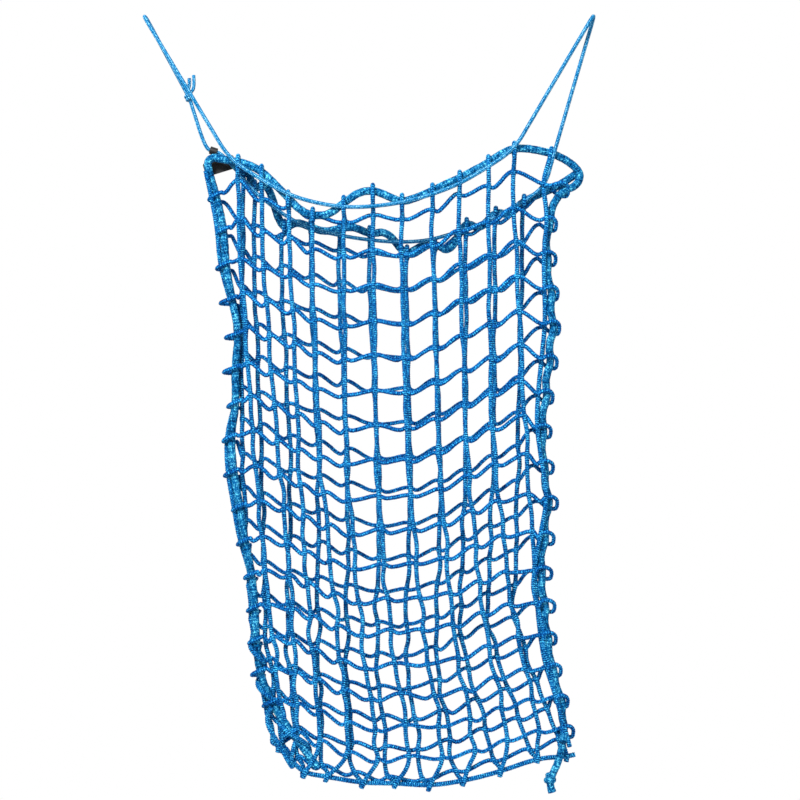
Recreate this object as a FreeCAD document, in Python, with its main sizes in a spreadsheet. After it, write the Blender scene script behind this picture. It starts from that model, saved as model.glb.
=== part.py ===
import FreeCAD, Part
import math
import os
import Sketcher

# Hay net: a tube of knotless netting, flattened to 12 meshes wide and 17 rows deep, gathered along
# its foot, edged with thick rope and hung open-mouthed from two hooks on one looped draw cord.
# Millimetres, +Z up, X to the right, Y to the back. The origin is the hook that carries the left
# bight of the draw cord. Columns are counted 0 to 12 from left to right and rows from 1 down.

os.makedirs("parts", exist_ok=True)
doc = FreeCAD.newDocument("HayNet")
sheet = doc.addObject("Spreadsheet::Sheet", "Sizes")

COLUMNS = 12
ROWS = 17
FOOT_ROW = ROWS + 1
PANELS = {"front": -1, "back": 1}

# Driving dimensions: alias, value.
SIZES = {
    "hung_width": 438,
    "places_width": 438,
    "left_edge": 120,
    "row_pitch": 48.3,
    "back_pitch_less": 1,
    "row_closing": 0.44,
    "closing_row": 10,
    "corner_lift": 13,
    "front_level": 234.5,
    "back_level": 271,
    "mouth_half_depth": 28,
    "foot_half_depth": 4,
    "down_twine_diameter": 6,
    "cross_twine_diameter": 5,
    "rope_diameter": 11,
    "foot_twine_diameter": 6,
    "draw_cord_diameter": 5.5,
    "mesh_sag": 4,
    "foot_stub": 10,
    "side_twine_gap": 0.5,
    "wrap_bite": 0.4,
    "knot_width": 11,
    "knot_length": 17,
    "tag_length": 45,
    "tag_height": 19,
    "tag_thickness": 3,
    "tag_corner": 3,
    "tag_neck": 10,
    "tag_slope": 17,
    "sleeve_diameter": 11,
    "sleeve_length": 10,
    "sleeve_clearance": 1.5,
    "sleeve_slope": 18,
    "plate_behind": 5.2,
    "tail_knot_width": 17,
    "tail_knot_length": 19,
    "pivot_oversize": 0.2,
    "moving_gap": 0.4,
}

# Places that differ from column to column or from row to row. Column places are shares of the hung
# width, measured from the left edge, and the other lists are millimetres.
LISTS = {
    "front_share_high": [0, 0.02, 0.096, 0.18, 0.257, 0.356, 0.45, 0.54, 0.637, 0.724, 0.815, 0.898, 1],
    "front_share_middle": [0, 0.064, 0.144, 0.211, 0.281, 0.364, 0.457, 0.562, 0.655, 0.744, 0.83, 0.927, 1],
    "front_share_low": [0, 0.115, 0.188, 0.252, 0.33, 0.412, 0.508, 0.602, 0.706, 0.8, 0.885, 0.974, 1],
    "front_share_last": [0, 0.163, 0.211, 0.281, 0.374, 0.47, 0.569, 0.674, 0.78, 0.88, 0.978, 1.064, 1],
    "back_share_high": [0, 0.03, 0.064, 0.153, 0.246, 0.339, 0.436, 0.553, 0.649, 0.744, 0.84, 0.93, 1],
    "back_share_middle": [0, 0.032, 0.09, 0.182, 0.278, 0.364, 0.47, 0.572, 0.661, 0.748, 0.834, 0.911, 1],
    "back_share_low": [0, 0.054, 0.102, 0.176, 0.267, 0.364, 0.46, 0.55, 0.649, 0.728, 0.812, 0.898, 1],
    "back_share_last": [0, 0.125, 0.163, 0.208, 0.281, 0.39, 0.495, 0.604, 0.716, 0.831, 0.949, 1.045, 1],
    "foot_share": [0, 0.15, 0.188, 0.227, 0.3, 0.412, 0.518, 0.626, 0.735, 0.856, 0.974, 1.07, 1],
    "front_rise_high": [37, 45, 31, 21, 8, 0, 6, 4, 14, 35, 48, 67, 50],
    "front_rise_low": [37, 40, 36, 23, 10, 0, 4, 5, 13, 27, 41, 43, 43],
    "back_rise_high": [52, 42, 33, 20, 10, 0, -8, -8, 3, 20, 38, 53, 68],
    "back_rise_low": [50, 42, 33, 20, 10, 0, -7, -8, 3, 17, 34, 46, 60],
    "front_mouth_drop": [189, 200, 214, 251, 276, 259, 241, 258, 242, 224, 202, 181, 185],
    "front_mouth_between": [195, 205, 232, 269, 276, 244, 249, 251, 232, 213, 189, 183],
    "back_mouth_drop": [200, 213, 238, 294, 288, 290, 298, 329, 311, 279, 266, 252, 243],
    "back_mouth_between": [207, 222, 280, 295, 287, 293, 314, 325, 293, 273, 259, 246],
    "foot_below": [12, -16, 6, 26, 32, 38, 37, 40, 32, 18, -1, -3, -14],
    "left_rope_out": [-39, -27, -15, -10, -1, 9, 3, 5, -3, 1, 10, 17, 27, 31, 33, 37, 53, 82, 119],
    "right_rope_out": [52, 20, 3, 0, 6, 9, 4, -1, -6, -4, 3, -3, -8, -3, 1, 8, 20, 27, 34],
    "left_nub": [0, 9, 10, 13, 19, 23, 18, 12, 10, 13, 9, 9, 9, 9, 10, 10, 9, 9],
    "right_nub": [0, 14, 14, 20, 12, 10, 14, 12, 18, 21, 18, 21, 26, 24, 18, 18, 12, 14],
}

for row_number, (alias, value) in enumerate(SIZES.items(), start=1):
    sheet.set(f"A{row_number}", alias)
    sheet.set(f"B{row_number}", str(value))
    sheet.setAlias(f"B{row_number}", alias)

letters = "BCDEFGHIJKLMNOPQRSTUVWXYZ"
for row_number, (name, values) in enumerate(LISTS.items(), start=len(SIZES) + 2):
    sheet.set(f"A{row_number}", name)
    for number, value in enumerate(values):
        cell = f"{letters[number]}{row_number}"
        sheet.set(cell, str(value))
        sheet.setAlias(cell, f"{name}_{number:02d}")
doc.recompute()


def size(alias):
    return float(getattr(sheet, alias))


def listed(name, number):
    return size(f"{name}_{number:02d}")


rope = size("rope_diameter")
down_twine = size("down_twine_diameter")
cross_twine = size("cross_twine_diameter")
nodes = []


# ---------------------------------------------------------------- the hung shape of the netting
STATIONS = [("high", 2), ("middle", 8), ("low", 13), ("last", ROWS)]


def blend(low, high, share):
    return low + (high - low) * min(max(share, 0.0), 1.0)


def column_share(panel, column, row):
    """Where a down twine stands across the width, as a share of it, at a row."""
    if row > ROWS:
        return listed("foot_share", column)
    for (upper, from_row), (lower, to_row) in zip(STATIONS, STATIONS[1:]):
        if row <= to_row:
            break
    share = (row - from_row) / (to_row - from_row)
    return blend(listed(f"{panel}_share_{upper}", column), listed(f"{panel}_share_{lower}", column), share)


def row_drop(panel, row):
    """How far a row hangs below the hooks at its lowest column; the last rows close up."""
    pitch = size("row_pitch") - (size("back_pitch_less") if panel == "back" else 0)
    closed = max(row - size("closing_row"), 0) ** 2 * size("row_closing")
    return size(f"{panel}_level") + pitch * row - closed


def foot_drop(column):
    return row_drop("front", ROWS) + listed("foot_below", column)


def rise(panel, column, row):
    """How far a column's joint stands above the lowest one of its row."""
    share = (row - 8) / 4
    height = blend(listed(f"{panel}_rise_high", column), listed(f"{panel}_rise_low", column), share)
    if (panel, column) == ("front", 1):
        height += size("corner_lift") * max(1.6 - 0.6 * row, 0)
    return height


def sway(column, row, phase):
    """The small unevenness of a hand-hung net, between -1 and 1."""
    return math.sin(2.1 * column + 1.3 * row + phase) * math.cos(0.9 * row - 1.7 * column + 2 * phase)


def belly(column):
    """How far a panel stands off the middle plane, from 0 at the side ropes to 1 half way across."""
    return math.sin(math.pi * column / COLUMNS) ** 0.6


def half_depth(row):
    return blend(size("mouth_half_depth"), size("foot_half_depth"), row / ROWS)


def rope_place(side, row):
    """The middle of a side rope at a row."""
    column = 0 if side == "left" else COLUMNS
    edge = size("left_edge") + (0 if side == "left" else size("hung_width"))
    if row > ROWS:
        drop = foot_drop(column)
    else:
        drop = row_drop("front", row) - rise("front", column, row)
    return FreeCAD.Vector(edge + listed(f"{side}_rope_out", row), 0, -drop)


def net_place(panel, column, row):
    """The middle of the joint between a down twine and a cross twine."""
    x = size("left_edge") + size("hung_width") * column_share(panel, column, row)
    x += 1.8 * sway(column, row, PANELS[panel])
    if row > ROWS:
        z = -foot_drop(column)
    else:
        z = rise(panel, column, row) - row_drop(panel, row) + 2.2 * sway(row, column, 0.4)
    y = PANELS[panel] * half_depth(row) * belly(column)
    return FreeCAD.Vector(x, y, z)


def mouth_place(panel, column):
    """The middle of the mouth rope at a column, or half way between two."""
    before, after = math.floor(column), math.ceil(column)
    share = (listed(f"{panel}_share_high", before) + listed(f"{panel}_share_high", after)) / 2
    drop = listed(f"{panel}_mouth_drop" if before == after else f"{panel}_mouth_between", before)
    x = size("left_edge") + size("hung_width") * share
    y = PANELS[panel] * size("mouth_half_depth") * belly(column)
    return FreeCAD.Vector(x, y, -drop)


def halves(first, last):
    """Columns and the places half way between them."""
    return [number / 2 for number in range(2 * first, 2 * last + 1)]


# ---------------------------------------------------------------- tubes along routes
STRAIGHT = 0.0005


def tangent_wire(route):
    """Straight runs joined by tangent arcs, each as large as its two runs allow."""
    edges, radii = [], []
    here = route[0]
    for before, corner, after in zip(route, route[1:], route[2:]):
        back = (before - corner).normalize()
        ahead = (after - corner).normalize()
        half_turn = (math.pi - back.getAngle(ahead)) / 2
        if half_turn < STRAIGHT:
            continue
        setback = 0.45 * min((before - corner).Length, (after - corner).Length)
        radius = setback / math.tan(half_turn)
        middle = corner + (back + ahead).normalize() * (radius / math.cos(half_turn) - radius)
        start, end = corner + back * setback, corner + ahead * setback
        edges.append(Part.LineSegment(here, start).toShape())
        edges.append(Part.Arc(start, middle, end).toShape())
        radii.append(radius)
        here = end
    edges.append(Part.LineSegment(here, route[-1]).toShape())
    return Part.Wire(edges), min(radii, default=0)


def tube(label, route, diameter):
    """A round tube along a route; its diameter is bound to a cell of the sheet."""
    route = [FreeCAD.Vector(*point) for point in route]
    wire, tightest = tangent_wire(route)
    spine = doc.addObject("Part::Feature", f"{label}_line")
    spine.Shape = wire
    section = doc.addObject("Part::Circle", f"{label}_section")
    section.setExpression("Radius", f"Sizes.{diameter} / 2")
    turn = FreeCAD.Rotation(FreeCAD.Vector(0, 0, 1), route[1] - route[0])
    section.Placement = FreeCAD.Placement(route[0], turn)
    swept = doc.addObject("Part::Sweep", label)
    swept.Label = label
    swept.Sections = [section]
    swept.Spine = (spine, [])
    swept.Solid = True
    swept.Frenet = False
    tubes.append((label, swept, wire.Length, diameter, tightest))
    return swept


def keep(label, shape_object):
    shape_object.Label = label
    nodes.append((label, shape_object))


tubes = []


# ---------------------------------------------------------------- border rope
# One thick braided rope: up the left side, across the front of the mouth, round the slack corner
# on the right, and down the right side.
LEFT_CORNER = [(-36, 0, -217), (-40, 0, -199), (-31, -2, -192), (-14, -6, -196)]
ROPE_END_STEP = (-4, -13, -18)
RIGHT_CORNER = [(-22, -7, -181), (11, 2, -187), (34, 6, -198), (51, 6, -215), (43, 3, -233)]


def border_route():
    left, right = size("left_edge"), size("left_edge") + size("hung_width")
    route = [rope_place("left", row) for row in range(FOOT_ROW, 0, -1)]
    route += [FreeCAD.Vector(left + x, y, z) for x, y, z in LEFT_CORNER]
    route += [mouth_place("front", column) for column in halves(1, COLUMNS - 1)]
    route += [FreeCAD.Vector(right + x, y, z) for x, y, z in RIGHT_CORNER]
    route += [rope_place("right", row) for row in range(1, FOOT_ROW)]
    route.append(route[-1] + FreeCAD.Vector(*ROPE_END_STEP))
    return route


keep("border_rope", tube("border_rope", border_route(), "rope_diameter"))


# ---------------------------------------------------------------- back mouth rope
# The same rope across the back of the mouth; both ends lie along the border rope at the corners.
def back_mouth_route():
    left, right = size("left_edge"), size("left_edge") + size("hung_width")
    route = [FreeCAD.Vector(left + 3, 1, -204)]
    route += [mouth_place("back", column) for column in halves(1, COLUMNS - 1)]
    route += [FreeCAD.Vector(right + 4, 14, -240), FreeCAD.Vector(right + 25, 14, -229)]
    route += [FreeCAD.Vector(right + 42, 14, -216)]
    return route


keep("back_mouth_rope", tube("back_mouth_rope", back_mouth_route(), "rope_diameter"))


# ---------------------------------------------------------------- down twines
# Each starts behind the mouth rope, is turned over it, and runs down to the foot. It is modelled as
# three stretches that share their end faces, so that its collision follows its curve.
TOP_POINTS = 4
BREAK_ROWS = [6, 12]


def down_route(panel, column):
    side = PANELS[panel]
    top = mouth_place(panel, column)
    ring = (rope + down_twine) / 2 - size("wrap_bite")
    over = [(-ring, -12), (-0.75 * ring, 5), (0.75 * ring, 5), (ring, -10)]
    route = [top + FreeCAD.Vector(0, side * out, up) for out, up in over]
    route += [net_place(panel, column, row) for row in range(1, FOOT_ROW + 1)]
    route.append(route[-1] - FreeCAD.Vector(1.5, 0, size("foot_stub")))
    return route


def stretches(route):
    """The route in parts; each break is half way from one row to the next."""
    upper, lower = route, []
    for row in reversed(BREAK_ROWS):
        count = TOP_POINTS + row
        middle = (route[count - 1] + route[count]) / 2
        lower.insert(0, [middle] + upper[count:])
        upper = upper[:count] + [middle]
    return [upper] + lower


def joined(label, routes, diameter):
    """One node of several tubes, named after it and numbered from 1."""
    whole = doc.addObject("Part::Compound", label)
    whole.Links = [tube(f"{label}_{number}", r, diameter) for number, r in enumerate(routes, start=1)]
    keep(label, whole)


for panel in PANELS:
    for column in range(1, COLUMNS):
        route = down_route(panel, column)
        joined(f"{panel}_down_twine_{column:02d}", stretches(route), "down_twine_diameter")


# ---------------------------------------------------------------- side twines
# The twine at each fold of the netting, from the corner of the border rope down. It runs beside the
# side rope and wanders across it.
SIDE_STARTS = {
    "left": [(-37, -8, -212), (-33, -8, -230)],
    "right": [(9, 10.5, -199), (9, 7.5, -180), (8, -5.5, -180), (5, -7.5, -197), (-5, -5, -228)],
}


def side_route(side):
    edge = size("left_edge") + (0 if side == "left" else size("hung_width"))
    reach = (rope + down_twine) / 2 + size("side_twine_gap")
    facing = 1 if side == "left" else -1
    route = [FreeCAD.Vector(edge + x, y, z) for x, y, z in SIDE_STARTS[side]]
    for row in range(2, FOOT_ROW + 1):
        angle = 0.9 * math.sin(0.8 * row) + (2.2 if side == "left" else 0.6)
        offset = FreeCAD.Vector(facing * reach * math.cos(angle), facing * reach * math.sin(angle), 4)
        route.append(rope_place(side, row) + offset)
    return route


for side in ("left", "right"):
    keep(f"{side}_side_twine", tube(f"{side}_side_twine", side_route(side), "down_twine_diameter"))


# ---------------------------------------------------------------- cross twines
# Each is one ring round the tube of netting: across the front, looped round the left side rope,
# across the back and looped round the right one. The front and back stretches are two solids, and
# they meet on the outer side of the side ropes.
def crossing(panel, row):
    """The stretch of a cross twine from the first down twine to the last; it sags between them."""
    joints = [net_place(panel, column, row) for column in range(1, COLUMNS)]
    route = [joints[0]]
    for column, (here, ahead) in enumerate(zip(joints, joints[1:]), start=1):
        sag = size("mesh_sag") * (1 + 0.6 * sway(row, column, 1))
        route += [(here + ahead) / 2 - FreeCAD.Vector(0, 0, sag), ahead]
    return route


def side_loop(panel, side, row):
    """A cross twine's end round a side rope: outside it, then past it, then inside it."""
    out = -1 if side == "left" else 1
    clear = (rope + cross_twine) / 2 + size("side_twine_gap")
    outside = max(listed(f"{side}_nub", row), clear)
    if panel == "front":
        steps = [(out * outside, 0.6, -2), (out * 0.75 * outside, -0.7 * clear, 0), (-out * 2, -clear - 1.5, 1)]
    else:
        past = cross_twine + 1.6
        steps = [(out * outside, past, -5), (out * 0.6 * outside, clear, -7), (-out * 4, clear + 2, -9)]
    return [rope_place(side, row) + FreeCAD.Vector(*step) for step in steps]


def cross_route(panel, row):
    return side_loop(panel, "left", row) + crossing(panel, row) + side_loop(panel, "right", row)[::-1]


for row in range(1, FOOT_ROW):
    joined(f"cross_twine_{row:02d}", [cross_route(p, row) for p in PANELS], "cross_twine_diameter")


# ---------------------------------------------------------------- foot twine
# Closes the bag: it passes through the end of every pair of down twines.
def foot_route():
    route = [rope_place("left", ROWS - 1) + FreeCAD.Vector(-12, -9, -16)]
    route.append(rope_place("left", ROWS) + FreeCAD.Vector(-18, -9, -20))
    route.append(rope_place("left", FOOT_ROW) + FreeCAD.Vector(-38, -6, -4))
    for column in range(2, COLUMNS):
        place = net_place("front", column, FOOT_ROW)
        route.append(FreeCAD.Vector(place.x, 0, place.z))
    route.append(route[-1] + FreeCAD.Vector(11, 0, 3))
    return route


keep("foot_twine", tube("foot_twine", foot_route(), "foot_twine_diameter"))


# ---------------------------------------------------------------- draw cord
# One closed loop, joined by a knot below the left hook: up over that hook, down through the front
# of the mouth, up over the right hook, down through the back of the mouth, through the sleeve of
# the tag and back up to the knot.
DRAW_CORD = [
    (56.3, 3.2, -103.5),
    (-2, 5, 4.5),
    (-4, -5, 4.5),
    (117, -20, -197),
    (161, -30, -226),
    (200, -33, -248),
    (240, -35, -260),
    (282, -37, -266),
    (324, -38, -264),
    (362, -37.5, -258),
    (398, -36, -248),
    (436, -32, -233),
    (473, -28, -211),
    (513, -22, -184),
    (624, -5, 5),
    (626, 5, 5),
    (568, -7, -192),
    (558, -4, -231),
    (533, 6, -251),
    (504, 11, -266),
    (466, 14, -286),
    (428, 16, -298),
    (392, 17, -308),
    (352, 18, -310),
    (312, 17.5, -307),
    (272, 16, -301),
    (234, 13, -293),
    (200, 10, -278),
    (172, 6, -258),
    (147, 6, -237),
    (126, 9, -211),
    (104, 9, -186.5),
    (92.4, 9, -182.7),
    (81, 9, -179),
    (62.5, 6, -120),
    (60, 4.6, -112),
]


def draw_cord_route():
    """The places above suit a net places_width wide; right of its left edge they follow its width."""
    edge = size("left_edge")
    wider = size("hung_width") / size("places_width")
    return [(edge + (x - edge) * wider if x > edge else x, y, z) for x, y, z in DRAW_CORD]


keep("draw_cord", tube("draw_cord", draw_cord_route(), "draw_cord_diameter"))


# ---------------------------------------------------------------- knot of the draw cord
# Both ends of the cord tied together; the two short tails stand up beside the strands.
KNOT_TAILS = {
    "long": [(59, 5, -108), (63.5, 8, -99), (65.5, 9, -88), (64.5, 8.5, -76)],
    "short": [(55.5, 6, -102), (57.5, 10, -94), (58.5, 12, -87), (58, 12.5, -80)],
}
knot = doc.addObject("Part::Ellipsoid", "knot_lump")
knot.setExpression("Radius1", "Sizes.knot_length / 2")
knot.setExpression("Radius2", "Sizes.knot_width / 2")
knot.setExpression("Radius3", "Sizes.knot_width / 2")
knot.Placement = FreeCAD.Placement(
    FreeCAD.Vector(57.5, 3.5, -107.5),
    FreeCAD.Rotation(FreeCAD.Vector(0, 0, 1), FreeCAD.Vector(-0.45, 0, 0.89)),
)
tied = doc.addObject("Part::MultiFuse", "draw_cord_knot")
tied.Shapes = [knot] + [tube(f"knot_tail_{n}", r, "draw_cord_diameter") for n, r in KNOT_TAILS.items()]
keep("draw_cord_knot", tied)


# ---------------------------------------------------------------- tag
# A moulded plastic tag: a flat plate hung by a short neck from a sleeve that is threaded on the draw
# cord. Its local X runs along the sleeve, and the body turns about it.
TAG_AXIS_PLACE = (92.4, 9, -182.7)
PLATE_CORNER = (1.1, -37.2)
NECK_INTO_PLATE = 3


def placed_plane(body, role):
    return next(feature for feature in body.Origin.OriginFeatures if feature.Role == role)


def sketch_on(body, role, name):
    sketch = body.newObject("Sketcher::SketchObject", name)
    sketch.AttachmentSupport = [(placed_plane(body, role), "")]
    sketch.MapMode = "FlatFace"
    return sketch


def plate_outline(body, name, corners):
    """A four-sided outline in the plane of the plate, behind the sleeve's axis."""
    outline = sketch_on(body, "XZ_Plane", name)
    outline.setExpression("AttachmentOffset.Base.z", "-Sizes.plate_behind")
    for start, end in zip(corners, corners[1:] + corners[:1]):
        outline.addGeometry(Part.LineSegment(FreeCAD.Vector(*start, 0), FreeCAD.Vector(*end, 0)), False)
    for number in range(4):
        outline.addConstraint(Sketcher.Constraint("Coincident", number, 2, (number + 1) % 4, 1))
    return outline


def plate_pad(body, name, outline):
    pad = body.newObject("PartDesign::Pad", name)
    pad.Profile = outline
    pad.setExpression("Length", "Sizes.tag_thickness")
    pad.Midplane = True
    return pad


tag = doc.addObject("PartDesign::Body", "tag")
lean = math.radians(size("tag_slope") + size("sleeve_slope"))
long_side = (math.cos(lean), math.sin(lean))
short_side = (-math.sin(lean), math.cos(lean))
first = PLATE_CORNER
second = (first[0] + long_side[0] * size("tag_length"), first[1] + long_side[1] * size("tag_length"))
third = (second[0] + short_side[0] * size("tag_height"), second[1] + short_side[1] * size("tag_height"))
fourth = (first[0] + short_side[0] * size("tag_height"), first[1] + short_side[1] * size("tag_height"))
plate = plate_pad(tag, "tag_plate", plate_outline(tag, "tag_plate_outline", [first, second, third, fourth]))
doc.recompute()
upright = [
    f"Edge{number}"
    for number, edge in enumerate(plate.Shape.Edges, start=1)
    if abs(edge.tangentAt(edge.FirstParameter).y) > 0.99
]
rounded = tag.newObject("PartDesign::Fillet", "tag_rounding")
rounded.Base = (plate, upright)
rounded.setExpression("Radius", "Sizes.tag_corner")
above_plate = -(first[0] * short_side[0] + first[1] * short_side[1]) - size("tag_height")
drop = above_plate + NECK_INTO_PLATE
across = (long_side[0] * size("tag_neck") / 2, long_side[1] * size("tag_neck") / 2)
foot = (-short_side[0] * drop, -short_side[1] * drop)
neck_corners = [
    (-across[0], -across[1]),
    (foot[0] - across[0], foot[1] - across[1]),
    (foot[0] + across[0], foot[1] + across[1]),
    across,
]
plate_pad(tag, "tag_neck", plate_outline(tag, "tag_neck_outline", neck_corners))
sleeve_sketch = sketch_on(tag, "YZ_Plane", "tag_sleeve_outline")
sleeve_sketch.addGeometry(
    Part.Circle(FreeCAD.Vector(0, 0, 0), FreeCAD.Vector(0, 0, 1), size("sleeve_diameter") / 2), False
)
sleeve_sketch.addConstraint(Sketcher.Constraint("Coincident", 0, 3, -1, 1))
sleeve_sketch.addConstraint(Sketcher.Constraint("Diameter", 0, size("sleeve_diameter")))
sleeve_sketch.setExpression("Constraints[1]", "Sizes.sleeve_diameter")
sleeve = tag.newObject("PartDesign::Pad", "tag_sleeve")
sleeve.Profile = sleeve_sketch
sleeve.setExpression("Length", "Sizes.sleeve_length")
sleeve.Midplane = True
bore_sketch = sketch_on(tag, "YZ_Plane", "tag_bore_outline")
bore_sketch.addGeometry(
    Part.Circle(FreeCAD.Vector(0, 0, 0), FreeCAD.Vector(0, 0, 1), size("draw_cord_diameter") / 2 + 1), False
)
bore_sketch.addConstraint(Sketcher.Constraint("Coincident", 0, 3, -1, 1))
bore_sketch.addConstraint(Sketcher.Constraint("Diameter", 0, size("draw_cord_diameter") + 2))
bore_sketch.setExpression("Constraints[1]", "Sizes.draw_cord_diameter + Sizes.sleeve_clearance")
bore = tag.newObject("PartDesign::Pocket", "tag_bore")
bore.Profile = bore_sketch
bore.setExpression("Length", "Sizes.sleeve_length + 2")
bore.Midplane = True
tag.Placement = FreeCAD.Placement(
    FreeCAD.Vector(*TAG_AXIS_PLACE), FreeCAD.Rotation(FreeCAD.Vector(0, 1, 0), size("sleeve_slope"))
)
keep("tag", tag)


# ---------------------------------------------------------------- rope tail
# The free end of the border rope, below the right corner, with a stopper knot in it. Its round top
# is the pivot it swings on, a hair below the rope's end.
TAIL_STEPS = [(-2, 0, -9), (-5, 0, -20), (-10, 0, -32), (-16, 0, -44), (-17, 0, -54), (-14, 0, -64)]
KNOT_STEP = 3


def tail_pivot():
    end = border_route()[-1]
    along = FreeCAD.Vector(*ROPE_END_STEP).normalize()
    return end + along * (rope / 2 + size("pivot_oversize") + size("moving_gap"))


def tail_route():
    pivot = tail_pivot()
    return [pivot] + [pivot + FreeCAD.Vector(*step) for step in TAIL_STEPS]


tail_ball = doc.addObject("Part::Sphere", "tail_ball")
tail_ball.setExpression("Radius", "Sizes.rope_diameter / 2 + Sizes.pivot_oversize")
tail_ball.Placement.Base = tail_pivot()
hanging = doc.addObject("Part::MultiFuse", "rope_tail")
hanging.Shapes = [tail_ball, tube("tail_length", tail_route(), "rope_diameter")]
keep("rope_tail", hanging)
tail_knot = doc.addObject("Part::Ellipsoid", "tail_knot")
tail_knot.setExpression("Radius1", "Sizes.tail_knot_length / 2")
tail_knot.setExpression("Radius2", "Sizes.tail_knot_width / 2")
tail_knot.setExpression("Radius3", "Sizes.tail_knot_width / 2")
tail_knot.Placement = FreeCAD.Placement(
    tail_pivot() + FreeCAD.Vector(*TAIL_STEPS[KNOT_STEP]),
    FreeCAD.Rotation(FreeCAD.Vector(0, 0, 1), FreeCAD.Vector(0.35, 0, 0.94)),
)
keep("tail_knot", tail_knot)


# ---------------------------------------------------------------- build, test and write
doc.recompute()
for feature in doc.Objects:
    if {"Invalid", "Error"} & set(feature.State):
        raise RuntimeError(f"{feature.Name} failed: {feature.State}")
for label, swept, length, diameter, tightest in tubes:
    expected = math.pi / 4 * size(diameter) ** 2 * length
    if abs(swept.Shape.Volume - expected) > 0.01 * expected:
        raise RuntimeError(f"{label} holds {swept.Shape.Volume:.0f} mm3, not {expected:.0f}")
    print(f"{label}: length {length:.0f}, tightest radius {tightest:.1f}")
for label, shape_object in nodes:
    shape = shape_object.Shape
    if shape.isNull() or not shape.isValid() or not shape.Solids:
        raise RuntimeError(f"{label} is not a valid solid")
for label, shape_object in nodes:
    shape_object.Shape.exportStep(f"parts/{label}.step")
print(f"{len(nodes)} sub-parts written")
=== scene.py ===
import math

import bmesh
import bpy
import numpy as np
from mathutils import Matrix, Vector


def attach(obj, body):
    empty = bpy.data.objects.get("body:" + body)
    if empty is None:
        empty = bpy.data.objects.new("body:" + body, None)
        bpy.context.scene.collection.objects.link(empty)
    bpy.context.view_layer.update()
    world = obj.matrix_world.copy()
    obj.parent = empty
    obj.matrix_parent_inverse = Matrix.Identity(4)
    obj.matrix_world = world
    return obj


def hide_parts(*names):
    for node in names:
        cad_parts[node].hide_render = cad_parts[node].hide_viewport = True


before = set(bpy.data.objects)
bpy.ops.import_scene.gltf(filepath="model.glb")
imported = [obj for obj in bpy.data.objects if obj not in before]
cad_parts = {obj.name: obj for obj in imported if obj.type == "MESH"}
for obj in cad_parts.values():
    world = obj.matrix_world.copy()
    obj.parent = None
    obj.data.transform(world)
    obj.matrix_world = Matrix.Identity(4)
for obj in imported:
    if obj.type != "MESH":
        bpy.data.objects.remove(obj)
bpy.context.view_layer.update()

# ------------------------------------------------------------------------------------- camera
# Straight on to the front of the hung net, three metres off, level with its middle.
NET_CENTRE = 0.3542
VIEW_DISTANCE = 3.0
VIEW_ANGLE = 21.14
camera_data = bpy.data.cameras.new("view")
camera_data.angle = math.radians(VIEW_ANGLE)
camera = bpy.data.objects.new("view", camera_data)
camera.location = (NET_CENTRE, -VIEW_DISTANCE, -0.532)
camera.rotation_euler = (math.radians(90), 0, 0)
bpy.context.scene.collection.objects.link(camera)
bpy.context.scene.camera = camera


# ---------------------------------------------------------------------------------- draw cord
# Close-braided polyethylene cord, 5.5 mm, one closed loop. It is tied below the left hook, and both
# its bights are pulled tight over the hooks, with the two strands of a bight one behind the other.
def laid_line(name, route, spacing):
    """Points an even spacing apart along the smooth line of a route given in millimetres."""
    data = bpy.data.curves.new(name, "CURVE")
    data.dimensions = "3D"
    data.resolution_u = 16
    spline = data.splines.new("NURBS")
    spline.points.add(len(route) - 1)
    for point, place in zip(spline.points, route):
        point.co = (place[0] / 1000, place[1] / 1000, place[2] / 1000, 1)
    spline.order_u = 3
    spline.use_endpoint_u = True
    holder = bpy.data.objects.new(name, data)
    mesh = bpy.data.meshes.new_from_object(holder)
    fine = np.empty(3 * len(mesh.vertices))
    mesh.vertices.foreach_get("co", fine)
    fine = fine.reshape(-1, 3)
    bpy.data.objects.remove(holder)
    bpy.data.meshes.remove(mesh)
    run = np.r_[0, np.cumsum(np.linalg.norm(np.diff(fine, axis=0), axis=1))]
    places = np.linspace(0, run[-1], max(int(round(run[-1] * 1000 / spacing)), 2) + 1)
    return np.stack([np.interp(places, run, fine[:, axis]) for axis in range(3)], axis=1)


def round_braid(lumps, lay):
    """Height of a round braid, -1 to 1: lumps in staggered rows. The lay is in millimetres."""

    def height(along, around):
        turn = 2 * math.pi * along / lay
        return np.cos(lumps * around + turn) * np.cos(lumps * around - turn)

    return height


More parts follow.
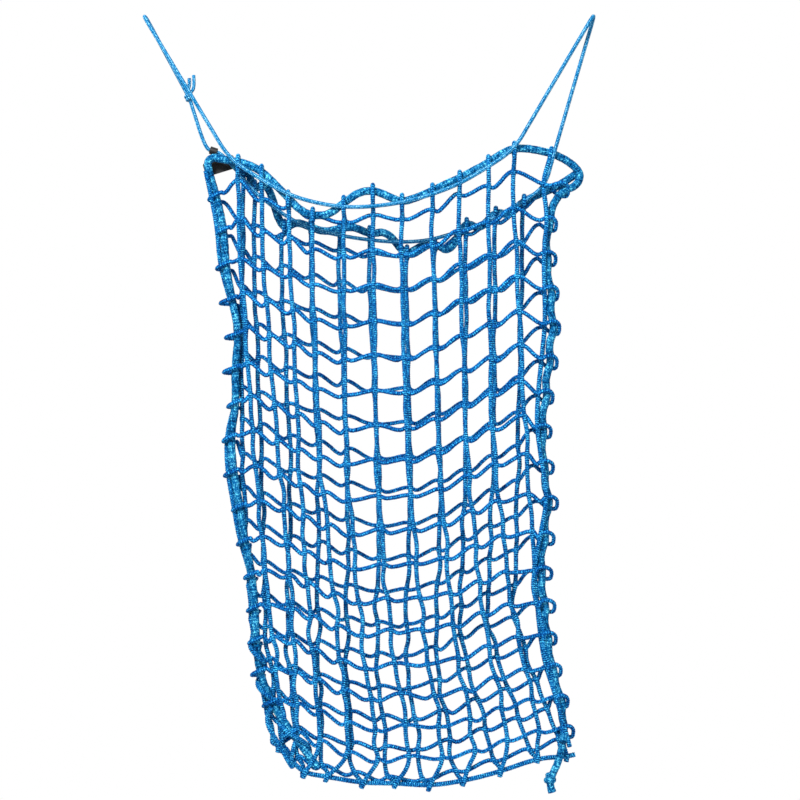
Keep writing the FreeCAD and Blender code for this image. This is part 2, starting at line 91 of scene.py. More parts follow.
def corded(name, line, diameter, sides, relief, depth, swell=None):
    """A braided tube that follows a line; ridge and the braid's own map are kept on the mesh."""
    data = bpy.data.curves.new(name, "CURVE")
    data.dimensions = "3D"
    data.bevel_depth = diameter / 2000
    data.bevel_resolution = sides // 2 - 2
    spline = data.splines.new("POLY")
    spline.points.add(len(line) - 1)
    spline.points.foreach_set("co", np.c_[line, np.ones(len(line))].ravel())
    holder = bpy.data.objects.new(name, data)
    mesh = bpy.data.meshes.new_from_object(holder)
    bpy.data.objects.remove(holder)
    mesh.name = name
    places = np.empty(3 * len(mesh.vertices))
    mesh.vertices.foreach_get("co", places)
    places = places.reshape(len(line), -1, 3)
    count = places.shape[1]
    run = np.r_[0, np.cumsum(np.linalg.norm(np.diff(line, axis=0), axis=1))] * 1000
    along, around = np.meshgrid(run, np.arange(count) / count * 2 * math.pi, indexing="ij")
    height = relief(along, around)
    grown = 1 + depth * height
    if swell is not None:
        grown = grown * swell(run)[:, None]
    places = line[:, None, :] + (places - line[:, None, :]) * grown[:, :, None]
    mesh.vertices.foreach_set("co", places.ravel())
    ridge = mesh.attributes.new("ridge", "FLOAT", "POINT")
    ridge.data.foreach_set("value", (0.5 + 0.5 * height).ravel())
    corners = np.empty(len(mesh.loops), dtype=int)
    mesh.loops.foreach_get("vertex_index", corners)
    turn = corners % count
    first = np.empty(len(mesh.polygons), dtype=int)
    mesh.polygons.foreach_get("loop_start", first)
    length = np.empty(len(mesh.polygons), dtype=int)
    mesh.polygons.foreach_get("loop_total", length)
    face = np.repeat(np.arange(len(first)), length)
    widest = np.zeros(len(first), dtype=int)
    np.maximum.at(widest, face, turn)
    turn = np.where((turn == 0) & (widest[face] == count - 1), count, turn)
    layer = mesh.uv_layers.get("braid") or mesh.uv_layers.new(name="braid")
    pairs = np.c_[run[corners // count] / 1000, turn / count * diameter * math.pi / 1000]
    layer.data.foreach_set("uv", pairs.ravel())
    closed = bmesh.new()
    closed.from_mesh(mesh)
    bmesh.ops.holes_fill(closed, edges=[edge for edge in closed.edges if edge.is_boundary])
    bmesh.ops.recalc_face_normals(closed, faces=closed.faces)
    closed.to_mesh(mesh)
    closed.free()
    mesh.polygons.foreach_set("use_smooth", [True] * len(mesh.polygons))
    piece = bpy.data.objects.new(name, mesh)
    bpy.context.scene.collection.objects.link(piece)
    return piece


def braid_look():
    """Colour, roughness and fine height of braided polyethylene, led by the braid's own ridges: painted
    shade in the grooves, painted highlight on the crests.
    """
    group = bpy.data.node_groups.new("braid_look", "ShaderNodeTree")
    # The groove colour is painted shade and the crest colour is a painted highlight.
    for socket in ("Shade_in_grooves", "Body", "Highlight_on_crests"):
        group.interface.new_socket(socket, in_out="INPUT", socket_type="NodeSocketColor")
    for socket in ("Threads", "Wear"):
        group.interface.new_socket(socket, in_out="INPUT", socket_type="NodeSocketFloat")
    group.interface.new_socket("Color", in_out="OUTPUT", socket_type="NodeSocketColor")
    for socket in ("Roughness", "Height"):
        group.interface.new_socket(socket, in_out="OUTPUT", socket_type="NodeSocketFloat")
    made = group.nodes.new
    wire = group.links.new

    def sum_up(operation, first, second):
        step = made("ShaderNodeMath")
        step.operation = operation
        for socket, value in zip(step.inputs, (first, second)):
            if isinstance(value, (int, float)):
                socket.default_value = value
            else:
                wire(value, socket)
        return step.outputs[0]

    def spread(value, low, high):
        step = made("ShaderNodeMapRange")
        step.interpolation_type = "SMOOTHSTEP"
        step.inputs["From Min"].default_value = low
        step.inputs["From Max"].default_value = high
        wire(value, step.inputs["Value"])
        return step.outputs["Result"]

    def between(share, first, second):
        step = made("ShaderNodeMix")
        step.data_type = "RGBA"
        wire(share, step.inputs["Factor"])
        wire(first, step.inputs["A"])
        wire(second, step.inputs["B"])
        return step.outputs["Result"]

    taken = made("NodeGroupInput").outputs
    ridge = made("ShaderNodeAttribute")
    ridge.attribute_name = "ridge"
    place = made("ShaderNodeTexCoord")

    def mottle(scale, detail):
        step = made("ShaderNodeTexNoise")
        step.inputs["Scale"].default_value = scale
        step.inputs["Detail"].default_value = detail
        wire(place.outputs["Object"], step.inputs["Vector"])
        return step.outputs["Fac"]

    patches = mottle(scale=55, detail=2)
    specks = mottle(scale=620, detail=2)
    fibres = mottle(scale=1500, detail=3)
    lay = made("ShaderNodeUVMap")
    lay.uv_map = "braid"
    parts = made("ShaderNodeSeparateXYZ")
    wire(lay.outputs["UV"], parts.inputs["Vector"])
    across = sum_up("ADD", parts.outputs["X"], parts.outputs["Y"])
    threads = sum_up("SINE", sum_up("MULTIPLY", across, taken["Threads"]), 0)
    raised = sum_up("MULTIPLY", ridge.outputs["Fac"], 0.66)
    lift = sum_up("ADD", raised, sum_up("MULTIPLY", fibres, 0.2))
    lift = sum_up("ADD", lift, sum_up("MULTIPLY", sum_up("SUBTRACT", specks, 0.5), 1.3))
    lift = sum_up("ADD", lift, sum_up("MULTIPLY", threads, 0.05))
    worn = sum_up("MULTIPLY", sum_up("SUBTRACT", patches, 0.5), taken["Wear"])
    lift = sum_up("ADD", lift, worn)
    # Painted light: low ridge heights get the painted groove shade and high ones the painted crest
    # highlight. Random fibre and speck noise and the wear patches shift this tone too.
    low = between(spread(lift, low=0.12, high=0.5), taken["Shade_in_grooves"], taken["Body"])
    color = between(spread(lift, low=0.48, high=0.86), low, taken["Highlight_on_crests"])
    given = made("NodeGroupOutput").inputs
    wire(color, given["Color"])
    wire(sum_up("SUBTRACT", 0.84, sum_up("MULTIPLY", lift, 0.3)), given["Roughness"])
    wire(sum_up("ADD", sum_up("MULTIPLY", threads, 0.35), fibres), given["Height"])
    return group


braid_group = braid_look()


def linear(red, green, blue):
    """A screen colour as the shader's own linear one."""
    channels = [value / 255 for value in (red, green, blue)]
    return [c / 12.92 if c <= 0.04045 else ((c + 0.055) / 1.055) ** 2.4 for c in channels] + [1]


def braided_plastic(name, groove_shade, body, crest_highlight, thread_gap, wear=0.35):
    """A braided polyethylene finish, its groove colour painted shade and its crest colour a painted
    highlight; its filaments are thread_gap metres apart.
    """
    finish = bpy.data.materials.new(name)
    finish.use_nodes = True
    nodes, links = finish.node_tree.nodes, finish.node_tree.links
    shader = nodes["Principled BSDF"]
    shader.inputs["Specular IOR Level"].default_value = 0.04
    look = nodes.new("ShaderNodeGroup")
    look.node_tree = braid_group
    look.inputs["Shade_in_grooves"].default_value = linear(*groove_shade)
    look.inputs["Body"].default_value = linear(*body)
    look.inputs["Highlight_on_crests"].default_value = linear(*crest_highlight)
    look.inputs["Threads"].default_value = 2 * math.pi / thread_gap
    look.inputs["Wear"].default_value = wear
    bump = nodes.new("ShaderNodeBump")
    bump.inputs["Strength"].default_value = 0.5
    bump.inputs["Distance"].default_value = 0.0002
    links.new(look.outputs["Height"], bump.inputs["Height"])
    links.new(look.outputs["Color"], shader.inputs["Base Color"])
    links.new(look.outputs["Roughness"], shader.inputs["Roughness"])
    links.new(bump.outputs["Normal"], shader.inputs["Normal"])
    return finish


def dressed(piece, finish, body, slot, *nodes):
    """Gives a piece its finish and its place on the frame."""
    piece.data.materials.clear()
    piece.data.materials.append(finish)
    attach(piece, body)
    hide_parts(*nodes)


DRAW_CORD = [
    (56.3, 3.2, -103.5), (13.7, 4.5, -24.5), (-2, 5, 4.5), (-4, -5, 4.5), (13, -7.1, -23.7),
    (89.5, -16.6, -151), (117, -20, -197), (161, -30, -226), (200, -33, -248), (240, -35, -260),
    (282, -37, -266), (324, -38, -264), (362, -37.5, -258), (398, -36, -248), (436, -32, -233),
    (473, -28, -211), (513, -22, -184), (537.5, -18.2, -142), (607.3, -7.6, -23.4), (624, -5, 5),
    (626, 5, 5), (616.7, 3.1, -26.6), (579.4, -4.6, -153), (568, -7, -192), (558, -4, -231),
    (533, 6, -251), (504, 11, -266), (466, 14, -286), (428, 16, -298), (392, 17, -308),
    (352, 18, -310), (312, 17.5, -307), (272, 16, -301), (234, 13, -293), (200, 10, -278),
    (172, 6, -258), (147, 6, -237), (126, 9, -211), (104, 9, -186.5), (92.4, 9, -182.7),
    (81, 9, -179), (62.5, 6, -120), (60, 4.6, -112),
]
CORD_DIAMETER = 5.5
FINE_SIDES = 12
CORD_RELIEF = 0.06
# Draw cord colours: painted shade in the grooves, the cord's own blue, and a painted highlight on the
# crests.
cord_blue = braided_plastic("cord_blue", (0, 54, 104), (10, 112, 164), (156, 222, 242),
                            thread_gap=0.0011, wear=0.2)
cord_line = laid_line("draw_cord_line", DRAW_CORD, 0.8)
cord_braid = round_braid(lumps=3, lay=4.4)
draw_cord = corded("braided_draw_cord", cord_line, CORD_DIAMETER, FINE_SIDES, cord_braid, CORD_RELIEF)
dressed(draw_cord, cord_blue, "net", "cord", "draw_cord")


# ------------------------------------------------------------------------- draw cord's knot
# Both ends of the cord tied in one overhand knot: two turns round the standing part, drawn tight,
# with two cut tails that stand up beside the strands. Drawn tight, the cord is a little thinner.
KNOT_MIDDLE = Vector((57.5, 3.5, -107.5))
KNOT_ALONG = Vector((-0.45, 0, 0.89))
KNOT_ACROSS = Vector((0.89, 0, 0.45))
TOWARDS_BACK = Vector((0, 1, 0))
TIGHT_DIAMETER = 5
KNOT_RELIEF = 0.07
POINTS_A_TURN = 8


def wound(middle, along, across, turns, radius, rise, start=0.0):
    """Points of a few turns round a middle; they climb along it."""
    points = []
    for step in range(int(turns * POINTS_A_TURN) + 1):
        angle = start + step * 2 * math.pi / POINTS_A_TURN
        place = middle + along * (rise * (step / (turns * POINTS_A_TURN) - 0.5))
        sideways = across * (radius * math.cos(angle))
        backward = TOWARDS_BACK * (radius * math.sin(angle))
        points.append(place + sideways + backward)
    return points


KNOT_TAILS = {
    "long": [(59, 5, -108), (63.5, 8, -99), (65.5, 9, -88), (64.5, 8.5, -76)],
    "short": [(55.5, 6, -102), (57.5, 10, -94), (58.5, 12, -87), (58, 12.5, -80)],
}
turns = wound(KNOT_MIDDLE, KNOT_ALONG, KNOT_ACROSS, turns=2.25, radius=3.3, rise=10, start=0.6)
knot_line = laid_line("draw_cord_knot_line", turns + [Vector(p) for p in KNOT_TAILS["long"][1:]], 0.7)
cord_knot = corded(
    "draw_cord_overhand_knot", knot_line, TIGHT_DIAMETER, FINE_SIDES, cord_braid, KNOT_RELIEF,
)
dressed(cord_knot, cord_blue, "net", "cord", "draw_cord_knot")
short_line = laid_line("short_tail_line", KNOT_TAILS["short"], 0.7)
short_tail = corded(
    "draw_cord_short_tail", short_line, TIGHT_DIAMETER, FINE_SIDES, cord_braid, KNOT_RELIEF,
)
dressed(short_tail, cord_blue, "net", "cord", "draw_cord_knot")


# --------------------------------------------------------------------------------- rope tail
# The free end of the border rope, thick and soft, hanging below the right corner. An overhand
# knot is tied near its end, and the cut end stands out below the knot.
def soft_braid(along, around):
    """Height of a thick soft rope: small lumps, crushed unevenly, with stray fibres between them."""
    even = round_braid(lumps=6, lay=9.5)(along, around + 0.25 * np.sin(along / 9))
    crushed = np.sin(along / 3.1 + 2 * around) * np.sin(along / 7.7 - 3 * around + 1)
    stray = np.sin(12.9898 * np.round(along) + 78.233 * np.round(around * 5)) * 0.7
    return 0.4 * even + 0.35 * crushed + 0.25 * stray


TAIL_PIVOT = Vector((579.92, -16.51, -1013.91))
TAIL_STEPS = [(-2, 0, -9), (-5, 0, -20), (-10, 0, -32), (-16, 0, -44), (-17, 0, -54), (-14, 0, -64)]
KNOT_STEP = 3
ROPE_DIAMETER = 11
TAIL_DIAMETER = 10.4
STOPPER_DIAMETER = 8.6
ROPE_SIDES = 28
TAIL_RELIEF = 0.12
# Rope colours: painted shade in the grooves, the rope's own blue, and a painted highlight on the crests.
rope_blue = braided_plastic("rope_blue", (0, 18, 60), (0, 91, 146), (106, 216, 238),
                            thread_gap=0.0016, wear=0.5)
tail_route = [TAIL_PIVOT + Vector((0.6, 0.5, 2.5)), TAIL_PIVOT]
tail_route += [TAIL_PIVOT + Vector(step) for step in TAIL_STEPS]
tail_line = laid_line("rope_tail_line", tail_route, 0.8)
rope_tail = corded(
    "braided_rope_tail", tail_line, TAIL_DIAMETER, ROPE_SIDES, soft_braid, TAIL_RELIEF,
    lambda run: np.minimum(1, 0.55 + run / 7) * (1 + 0.14 * np.exp(-((run - run[-1]) / 5) ** 2)),
)
dressed(rope_tail, rope_blue, "rope_tail", "rope", "rope_tail")
knot_middle = TAIL_PIVOT + Vector(TAIL_STEPS[KNOT_STEP])
stopper_along = Vector((0.35, 0, 0.94))
stopper_across = Vector((0.94, 0, -0.35))
turns = wound(knot_middle, stopper_along, stopper_across, turns=1.6, radius=4.6, rise=11, start=2.4)
knot_line = laid_line("tail_knot_line", turns, 0.8)
stopper = corded(
    "rope_tail_stopper_knot", knot_line, STOPPER_DIAMETER, ROPE_SIDES, soft_braid, TAIL_RELIEF,
)
dressed(stopper, rope_blue, "rope_tail", "rope", "tail_knot")


# ------------------------------------------------------------------------------- border rope
# One thick braided rope: up the left side, across the front of the mouth, round the slack corner
# on the right and down the right side. The netting hangs on it as it does in the frame: the tube
# of mesh is flattened, its columns counted 0 to 12 from the left and its rows from 1 down.
ROPE_RELIEF = 0.1
COLUMNS = 12
ROWS = 17
FOOT_ROW = ROWS + 1
PANELS = {"front": -1, "back": 1}
LEFT_EDGE = 120
HUNG_WIDTH = 438
ROW_PITCH = {"front": 48.3, "back": 47.3}
LEVEL = {"front": 234.5, "back": 271}
CLOSING, CLOSING_ROW = 0.44, 10
CORNER_LIFT = 13
MOUTH_HALF_DEPTH, FOOT_HALF_DEPTH = 28, 4
SHARES = {
    "front": {
        2: [0, 0.02, 0.096, 0.18, 0.257, 0.356, 0.45, 0.54, 0.637, 0.724, 0.815, 0.898, 1],
        8: [0, 0.064, 0.144, 0.211, 0.281, 0.364, 0.457, 0.562, 0.655, 0.744, 0.83, 0.927, 1],
        13: [0, 0.115, 0.188, 0.252, 0.33, 0.412, 0.508, 0.602, 0.706, 0.8, 0.885, 0.974, 1],
        17: [0, 0.163, 0.211, 0.281, 0.374, 0.47, 0.569, 0.674, 0.78, 0.88, 0.978, 1.064, 1],
    },
    "back": {
        2: [0, 0.03, 0.064, 0.153, 0.246, 0.339, 0.436, 0.553, 0.649, 0.744, 0.84, 0.93, 1],
        8: [0, 0.032, 0.09, 0.182, 0.278, 0.364, 0.47, 0.572, 0.661, 0.748, 0.834, 0.911, 1],
        13: [0, 0.054, 0.102, 0.176, 0.267, 0.364, 0.46, 0.55, 0.649, 0.728, 0.812, 0.898, 1],
        17: [0, 0.125, 0.163, 0.208, 0.281, 0.39, 0.495, 0.604, 0.716, 0.831, 0.949, 1.045, 1],
    },
}
FOOT_SHARE = [0, 0.15, 0.188, 0.227, 0.3, 0.412, 0.518, 0.626, 0.735, 0.856, 0.974, 1.07, 1]
RISE = {
    "front": (
        [37, 45, 31, 21, 8, 0, 6, 4, 14, 35, 48, 67, 50],
        [37, 40, 36, 23, 10, 0, 4, 5, 13, 27, 41, 43, 43],
    ),
    "back": (
        [52, 42, 33, 20, 10, 0, -8, -8, 3, 20, 38, 53, 68],
        [50, 42, 33, 20, 10, 0, -7, -8, 3, 17, 34, 46, 60],
    ),
}
MOUTH_DROP = {
    "front": [
        189, 195, 200, 205, 214, 232, 251, 269, 276, 276, 259, 244, 241, 249, 258, 251, 242, 232,
        224, 213, 202, 189, 181, 183, 185,
    ],
    "back": [
        200, 203, 213, 207, 238, 222, 294, 280, 288, 295, 290, 287, 298, 293, 329, 314, 311, 325,
        279, 293, 266, 273, 252, 259, 243,
    ],
}
FOOT_BELOW = [12, -16, 2, 20, 25, 34, 34, 38, 31, 18, -1, -3, -14]
LEFT_ROPE_OUT = [-39, -23, -12, -10, -1, 9, 3, 5, -3, 1, 10, 17, 27, 31, 33, 37, 53, 82, 119]
RIGHT_ROPE_OUT = [52, 20, 3, 0, 6, 9, 4, -1, -6, -4, 3, -3, -8, -3, 1, 8, 20, 27, 34]


def row_drop(panel, row):
    """How far a row hangs below the hooks; the rows close up towards the foot."""
    closed = max(row - CLOSING_ROW, 0) ** 2 * CLOSING
    return LEVEL[panel] + ROW_PITCH[panel] * row - closed


def rise(panel, column, row):
    """How far a joint stands above the level of its row, or below it where negative."""
    share = min(max((row - 8) / 4, 0), 1)
    high, low = RISE[panel]
    lift = CORNER_LIFT * max(1.6 - 0.6 * row, 0) if (panel, column) == ("front", 1) else 0
    return high[column] + (low[column] - high[column]) * share + lift


def rope_place(side, row):
    """Where a side rope is at a row; below the last row, where it is at the foot."""
    column = 0 if side == "left" else COLUMNS
    out = (LEFT_ROPE_OUT if side == "left" else RIGHT_ROPE_OUT)[row]
    edge = LEFT_EDGE if side == "left" else LEFT_EDGE + HUNG_WIDTH
    if row > ROWS:
        drop = row_drop("front", ROWS) + FOOT_BELOW[column]
    else:
        drop = row_drop("front", row) - rise("front", column, row)
    return Vector((edge + out, 0, -drop))


def belly(column):
    """Share of the depth that the flattened tube has at a column: none at its folds."""
    return math.sin(math.pi * column / COLUMNS) ** 0.6


def mouth_place(panel, column):
    """Where a mouth rope is at a column, or halfway between two."""
    before, after = math.floor(column), math.ceil(column)
    share = (SHARES[panel][2][before] + SHARES[panel][2][after]) / 2
    x = LEFT_EDGE + HUNG_WIDTH * share
    y = PANELS[panel] * MOUTH_HALF_DEPTH * belly(column)
    return Vector((x, y, -MOUTH_DROP[panel][round(2 * column)]))


def halves(first, last):
    """Columns from first to last, with the places halfway between them."""
    return [number / 2 for number in range(2 * first, 2 * last + 1)]


LEFT_CORNER = [(88, 0, -217), (84, 0, -199), (92, -2, -192), (107, -6, -196)]
RIGHT_CORNER = [(536, -7, -181), (569, 2, -187), (592, 6, -198), (609, 6, -215), (601, 3, -233)]
route = [rope_place("left", row) for row in range(FOOT_ROW, 0, -1)]
route += [Vector(place) for place in LEFT_CORNER]
route += [mouth_place("front", column) for column in halves(1, COLUMNS - 1)]
route += [Vector(place) for place in RIGHT_CORNER]
# The right side bulges out a little at each row.
for row in range(1, ROWS):
    here, ahead = rope_place("right", row), rope_place("right", row + 1)
    route += [here + Vector((4, 0, -5)), here.lerp(ahead, 0.6) - Vector((2, 0, 0))]
route.append(rope_place("right", ROWS))
route.append(route[-1] + Vector((-4, -13, -18)))
border_line = laid_line("border_rope_line", route, 1.0)
border = corded("braided_border_rope", border_line, ROPE_DIAMETER, ROPE_SIDES, soft_braid, ROPE_RELIEF)
dressed(border, rope_blue, "net", "rope", "border_rope")


# ------------------------------------------------------------------------------- mouth rope
# The same rope across the back of the mouth. Both its ends lie along the border rope.
route = [Vector((123, 1, -204))]
route += [mouth_place("back", column) for column in halves(1, COLUMNS - 1)]
route += [Vector(place) for place in ((562, 14, -238), (584, 13, -227), (603, 11, -213))]
mouth_line = laid_line("back_mouth_rope_line", route, 1.0)
mouth_rope = corded(
    "braided_back_mouth_rope", mouth_line, ROPE_DIAMETER, ROPE_SIDES, soft_braid, ROPE_RELIEF,
)
dressed(mouth_rope, rope_blue, "net", "rope", "back_mouth_rope")


# ------------------------------------------------------------------------------ down twines
# Flat-knitted polyethylene twine, 6 mm, or 6.7 over its fuzz: a chain of stitches that shows as ribs
# up each face. Each is turned over the mouth rope, and swells at its joints with the cross twines.
DOWN_DIAMETER = 6.7
DOWN_RELIEF = 0.16
FOOT_STUB = 7
WRAP = (ROPE_DIAMETER + DOWN_DIAMETER) / 2 - 0.4
# The turn over the mouth rope, as steps out and up in lengths of WRAP.
HITCH = [
    (0.9, -0.7), (-0.1, -1.1), (-1, -0.5), (-1, 0.5), (-0.3, 1), (0.5, 0.95), (1.02, 0.1), (1, -1.4),
]
# Down twine colours: painted shade in the grooves, the twine's own blue, and a painted highlight on the
# rib crests.
down_blue = braided_plastic("down_twine_blue", (0, 14, 62), (0, 86, 152), (84, 208, 244),
                            thread_gap=0.0012)


def sway(column, row, phase):
    """An uneven shift, -1 to 1, that differs from joint to joint."""
    return math.sin(2.1 * column + 1.3 * row + phase) * math.cos(0.9 * row - 1.7 * column + 2 * phase)


def column_share(panel, column, row):
    """How far across the net a column is at a row, 0 at the left edge and 1 at the right."""
    if row > ROWS:
        return FOOT_SHARE[column]
    stations = sorted(SHARES[panel])
    return float(np.interp(row, stations, [SHARES[panel][station][column] for station in stations]))


def net_place(panel, column, row):
    """Where a down twine and a cross twine meet."""
    x = LEFT_EDGE + HUNG_WIDTH * column_share(panel, column, row)
    x += 1.8 * sway(column, row, PANELS[panel])
    if row > ROWS:
        z = -row_drop("front", ROWS) - FOOT_BELOW[column]
    else:
        z = rise(panel, column, row) - row_drop(panel, row) + 2.2 * sway(row, column, 0.4)
    depth = MOUTH_HALF_DEPTH + (FOOT_HALF_DEPTH - MOUTH_HALF_DEPTH) * min(row / ROWS, 1)
    return Vector((x, PANELS[panel] * depth * belly(column), z))


def ribs(along, around):
    """Height of a knitted chain: slanting ribs that meet in a seam on each face, and odd stitches."""
    slant = 4.2 * np.abs(np.sin(around + 0.5))
    rib = np.cos(2 * math.pi * along / 3.1 + slant) * (0.75 + 0.25 * np.sin(along / 4.1 + around))
    loose = np.sin(along / 1.3 + 5 * around) * np.sin(along / 2.9 - 3 * around)
    return 0.75 * rib + 0.25 * loose


def worked_in(line, joints):
    """How a twine swells at the joints along it."""
    run = np.r_[0, np.cumsum(np.linalg.norm(np.diff(line, axis=0), axis=1))] * 1000
    middles = [run[np.argmin(np.linalg.norm(line - np.array(joint) / 1000, axis=1))] for joint in joints]
    return lambda _: 0.94 + 0.26 * sum(np.exp(-(((run - middle) / 3.8) ** 2)) for middle in middles)


mouth_lines = {"front": border_line * 1000, "back": mouth_line * 1000}
for panel, facing in PANELS.items():
    for column in range(1, COLUMNS):
        gaps = np.linalg.norm(mouth_lines[panel] - np.array(mouth_place(panel, column)), axis=1)
        top = Vector(mouth_lines[panel][np.argmin(gaps)])
        route = [top + Vector((0, facing * out * WRAP, up * WRAP)) for out, up in HITCH]
        joints = [net_place(panel, column, row) for row in range(1, FOOT_ROW + 1)]
        for row, (here, ahead) in enumerate(zip(joints, joints[1:]), start=1):
            aside = 2.5 + 5 * min(max((row - 6) / 6, 0), 1)
            route += [here, here.lerp(ahead, 0.5) + Vector((aside * sway(row, column, 2), 0, 0))]
        route += [joints[-1], joints[-1] - Vector((1.5, 0, FOOT_STUB))]
        name = f"{panel}_down_twine_{column:02d}"
        line = laid_line(name + "_line", route, 0.75)
        twine = corded("knitted_" + name, line, DOWN_DIAMETER, FINE_SIDES, ribs, DOWN_RELIEF,
                       worked_in(line, joints))
        dressed(twine, down_blue, "net", "down_twine", name)


# ------------------------------------------------------------------------------ side twines
# The twine at each fold of the netting: it wanders down beside the side rope, and the left one is
# wound round the foot of its rope.
SIDE_STARTS = {
    "left": [(83, -8, -212), (87, -8, -230)],
    "right": [
        (567, 10.5, -199), (567, 7.5, -180), (566, -5.5, -180), (563, -7.5, -197), (553, -5, -228),
    ],
}
SIDE_REACH = (ROPE_DIAMETER + DOWN_DIAMETER) / 2 + 0.5
WOUND_FROM = 14
STEPS_A_ROW = 8
for side, facing in (("left", 1), ("right", -1)):
    route = [Vector(place) for place in SIDE_STARTS[side]]
    for row in range(2, FOOT_ROW + 1):
        angle = 0.9 * math.sin(0.8 * row) + (2.2 if side == "left" else 0.6)
        reach = Vector((facing * SIDE_REACH * math.cos(angle), facing * SIDE_REACH * math.sin(angle), 4))
        if side == "right" or row < WOUND_FROM:
            route.append(rope_place(side, row) + reach)
    for step in range(STEPS_A_ROW * (FOOT_ROW - WOUND_FROM) if side == "left" else 0):
        row, angle = WOUND_FROM + step // STEPS_A_ROW, 2.2 + 0.62 * step
        share = step % STEPS_A_ROW / STEPS_A_ROW
        middle = rope_place(side, row).lerp(rope_place(side, row + 1), share)
        route.append(middle + Vector((SIDE_REACH * math.cos(angle), SIDE_REACH * math.sin(angle), 0)))
    line = laid_line(f"{side}_side_twine_line", route, 0.75)
    twine = corded(f"knitted_{side}_side_twine", line, DOWN_DIAMETER, FINE_SIDES, ribs, DOWN_RELIEF)
    dressed(twine, down_blue, "net", "down_twine", f"{side}_side_twine")


# ----------------------------------------------------------------------------- cross twines
# Round-braided twine, 5 mm, or 5.7 over its fuzz, one ring for each row: across the front, round the
# right side rope, across the back and round the left one. It arches out of each down twine, sags
# in the middle of the mesh, and hooks up into the next.
CROSS_DIAMETER = 5.7
CROSS_RELIEF = 0.18
MESH_SAG = 4
LEFT_NUB = [0, 9, 10, 13, 19, 23, 18, 12, 10, 13, 9, 9, 9, 9, 10, 10, 9, 9]
RIGHT_NUB = [0, 14, 14, 20, 12, 10, 14, 12, 18, 21, 18, 21, 26, 24, 18, 18, 12, 14]
ROPE_CLEAR = (ROPE_DIAMETER + CROSS_DIAMETER) / 2 + 0.5
# Cross twine colours: painted shade in the grooves, the twine's own blue, and a painted highlight on the
# crests.
cross_blue = braided_plastic("cross_twine_blue", (0, 12, 62), (0, 80, 150), (64, 194, 242),
                             thread_gap=0.001)
# Bends between the last down twine and the right fold: share of the way, and rise.
SHOULDER = {
    "front": [(0.12, 2), (0.35, -1), (0.62, -6), (0.85, -6)],
    "back": [(0.15, 1), (0.4, 8), (0.65, 11), (0.88, 7)],
}


def fluffed_braid(along, around):
    """Height of a fine round braid, partly hidden by its own fuzz."""
    fuzz = np.sin(along / 1.4 + 3 * around) * np.sin(along / 3.3 - 2 * around)
    return 0.7 * round_braid(lumps=2, lay=6.4)(along, around) + 0.3 * fuzz


def side_loop(panel, side, row):
    """Points of a ring where it goes round a side rope, from the outside in."""
    if side == "left":
        nub = max(0.6 * LEFT_NUB[row] + 3, ROPE_CLEAR)
        steps = {
            "front": [
                (-1.1 * nub, 1, -6), (-1.1 * nub, -3, -5), (-4, -ROPE_CLEAR, -1), (8, -ROPE_CLEAR, 4),
            ],
            "back": [(-1.1 * nub, 5, -6.5), (-3, ROPE_CLEAR, -7), (7, ROPE_CLEAR + 2, -8)],
        }
    else:
        nub = max(0.35 * RIGHT_NUB[row] + 6, ROPE_CLEAR)
        steps = {
            "front": [
                (1.1 * nub, 1, -8), (1.05 * nub, -4, 0), (0.4 * nub, -ROPE_CLEAR, 5), (-5, -ROPE_CLEAR, 3),
            ],
            "back": [(0.95 * nub, 5, -14), (2, ROPE_CLEAR, -13), (-6, ROPE_CLEAR + 2, -8)],
        }
    return [rope_place(side, row) + Vector(step) for step in steps[panel]]


def strand(here, ahead, column, row):
    """Points from one joint to the next: an arch out of the higher one, a dip before the lower."""
    sag = MESH_SAG * (1 + 0.7 * sway(row, column, 1))
    steep = min(abs(here.z - ahead.z) / 16, 1.1)
    lively = 1 + 0.6 * sway(column, row, 3)
    bends = [(0.14, 1 + 3 * steep * lively), (0.36, 2 * steep - 0.3 * sag), (0.6, -sag - steep)]
    bends += [(0.8, -1.2 * sag - 2.5 * steep * lively), (0.94, -1.5 - 1.5 * steep)]
    if ahead.z > here.z:
        bends = [(1 - share, 0.75 * up) for share, up in reversed(bends)]
    return [here.lerp(ahead, share) + Vector((0, 0, up)) for share, up in bends] + [ahead]


def crossing(panel, row):
    """Points of a ring across one face, from left to right."""
    joints = [net_place(panel, column, row) for column in range(1, COLUMNS)]
    route = strand(side_loop(panel, "left", row)[-1], joints[0], 0, row)
    for column, (here, ahead) in enumerate(zip(joints, joints[1:]), start=1):
        route += strand(here, ahead, column, row)
    fold = side_loop(panel, "right", row)[-1]
    return route + [joints[-1].lerp(fold, share) + Vector((0, 0, up)) for share, up in SHOULDER[panel]]


for row in range(1, FOOT_ROW):
    left_front, right_front = side_loop("front", "left", row), side_loop("front", "right", row)
    left_back, right_back = side_loop("back", "left", row), side_loop("back", "right", row)
    route = left_front + crossing("front", row) + right_front[::-1]
    route += right_back + crossing("back", row)[::-1] + left_back[::-1] + left_front[:1]
    name = f"cross_twine_{row:02d}"
    line = laid_line(name + "_line", route, 0.8)
    twine = corded("braided_" + name, line, CROSS_DIAMETER, FINE_SIDES, fluffed_braid, CROSS_RELIEF)
    dressed(twine, cross_blue, "net", "cross_twine", name)


# ------------------------------------------------------------------------------- foot twine
# Closes the bag: it passes through the ends of the down twines, and is wound with the bottom of
# the left side rope.
route = [rope_place("left", ROWS - 1) + Vector((2, -9, -6))]
route.append(rope_place("left", ROWS - 1) + Vector((-10, -7, -22)))
route.append(rope_place("left", ROWS) + Vector((-15, -9, -18)))
route.append(rope_place("left", FOOT_ROW) + Vector((-34, -6, -3)))
for column in range(2, COLUMNS):
    place = net_place("front", column, FOOT_ROW)
    route.append(Vector((place.x, 0, place.z)))
route.append(route[-1] + Vector((11, 0, 3)))
line = laid_line("foot_twine_line", route, 0.75)
foot_twine = corded("knitted_foot_twine", line, DOWN_DIAMETER, FINE_SIDES, ribs, DOWN_RELIEF)
dressed(foot_twine, down_blue, "net", "down_twine", "foot_twine")


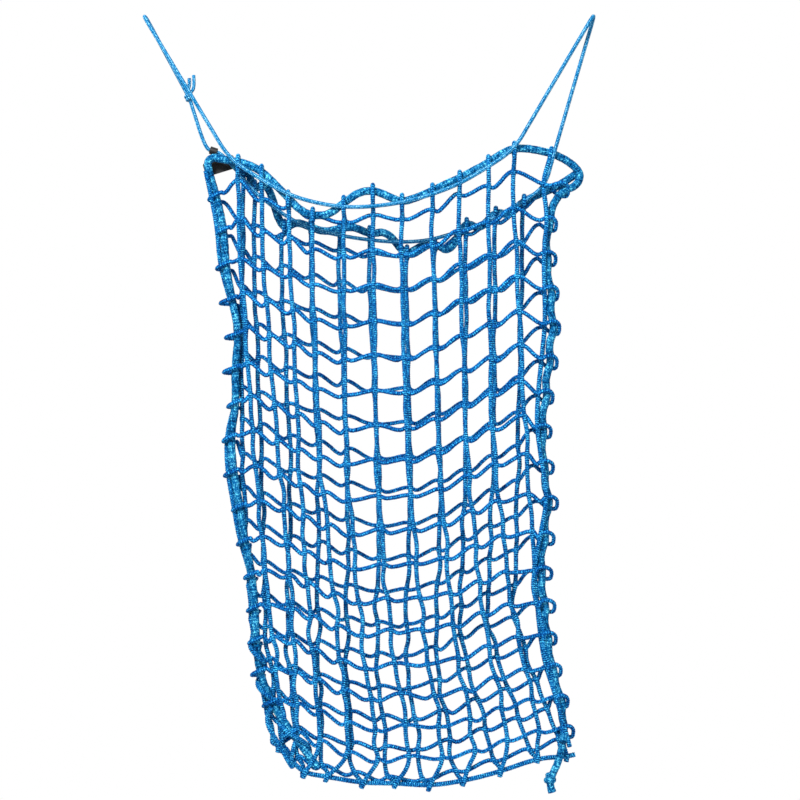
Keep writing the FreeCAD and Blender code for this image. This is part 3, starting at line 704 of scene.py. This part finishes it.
# -------------------------------------------------------------------------------------- tag
# A moulded black plastic tag, threaded on the draw cord by its sleeve.
tag_black = bpy.data.materials.new("tag_black")
tag_black.use_nodes = True
nodes, links = tag_black.node_tree.nodes, tag_black.node_tree.links
shader = nodes["Principled BSDF"]
shader.inputs["Specular IOR Level"].default_value = 0.35
place = nodes.new("ShaderNodeTexCoord")
grain = nodes.new("ShaderNodeTexNoise")
grain.inputs["Scale"].default_value = 900
links.new(place.outputs["Object"], grain.inputs["Vector"])
shade = nodes.new("ShaderNodeMix")
shade.data_type = "RGBA"
shade.inputs["A"].default_value = linear(7, 7, 9)
shade.inputs["B"].default_value = linear(20, 21, 24)
links.new(grain.outputs["Fac"], shade.inputs["Factor"])
links.new(shade.outputs["Result"], shader.inputs["Base Color"])
dull = nodes.new("ShaderNodeMapRange")
dull.inputs["To Min"].default_value = 0.42
dull.inputs["To Max"].default_value = 0.62
links.new(grain.outputs["Fac"], dull.inputs["Value"])
links.new(dull.outputs["Result"], shader.inputs["Roughness"])
bump = nodes.new("ShaderNodeBump")
bump.inputs["Strength"].default_value = 0.25
bump.inputs["Distance"].default_value = 0.0002
links.new(grain.outputs["Fac"], bump.inputs["Height"])
links.new(bump.outputs["Normal"], shader.inputs["Normal"])
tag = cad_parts["tag"]
for slot in tag.material_slots:
    slot.material = tag_black


# --------------------------------------------------------------------------- floor and light
# A plain pale floor under the net, an even white sky that lights it softly, and three lamps.
FLOOR_RADIUS = 0.8
FLOOR_LEVEL = -1.25
floor_mesh = bpy.data.meshes.new("floor")
disc = bmesh.new()
bmesh.ops.create_circle(disc, cap_ends=True, segments=96, radius=FLOOR_RADIUS)
bmesh.ops.translate(disc, verts=disc.verts, vec=(NET_CENTRE, 0, FLOOR_LEVEL))
disc.to_mesh(floor_mesh)
disc.free()
floor = bpy.data.objects.new("floor", floor_mesh)
bpy.context.scene.collection.objects.link(floor)
floor_paint = bpy.data.materials.new("floor_paint")
floor_paint.use_nodes = True
floor_paint.node_tree.nodes["Principled BSDF"].inputs["Base Color"].default_value = (0.8, 0.8, 0.8, 1)
floor_mesh.materials.append(floor_paint)
SKY_LIGHT = 0.6
sky = bpy.data.worlds.new("sky")
sky.use_nodes = True
backdrop = sky.node_tree.nodes["Background"]
backdrop.inputs["Color"].default_value = (1, 1, 1, 1)
seen = sky.node_tree.nodes.new("ShaderNodeLightPath")
strength = sky.node_tree.nodes.new("ShaderNodeMapRange")
strength.inputs["To Min"].default_value = SKY_LIGHT
sky.node_tree.links.new(seen.outputs["Is Camera Ray"], strength.inputs["Value"])
sky.node_tree.links.new(strength.outputs["Result"], backdrop.inputs["Strength"])
bpy.context.scene.world = sky
bpy.context.scene.view_settings.view_transform = "Standard"
LAMP_AIM = Vector((0.35, 0, -0.55))
LAMPS = {
    "key": ((-0.7, -1.9, 1.1), 115, 0.7),
    "fill": ((1.9, -2.0, -0.4), 20, 1.6),
    "behind": ((1.0, 2.2, 0.8), 40, 1.4),
}
for name, (place, power, across) in LAMPS.items():
    lamp_data = bpy.data.lights.new(name, "AREA")
    lamp_data.energy = power
    lamp_data.size = across
    lamp = bpy.data.objects.new(name, lamp_data)
    lamp.location = place
    lamp.rotation_euler = (LAMP_AIM - Vector(place)).to_track_quat("-Z", "Y").to_euler()
    bpy.context.scene.collection.objects.link(lamp)
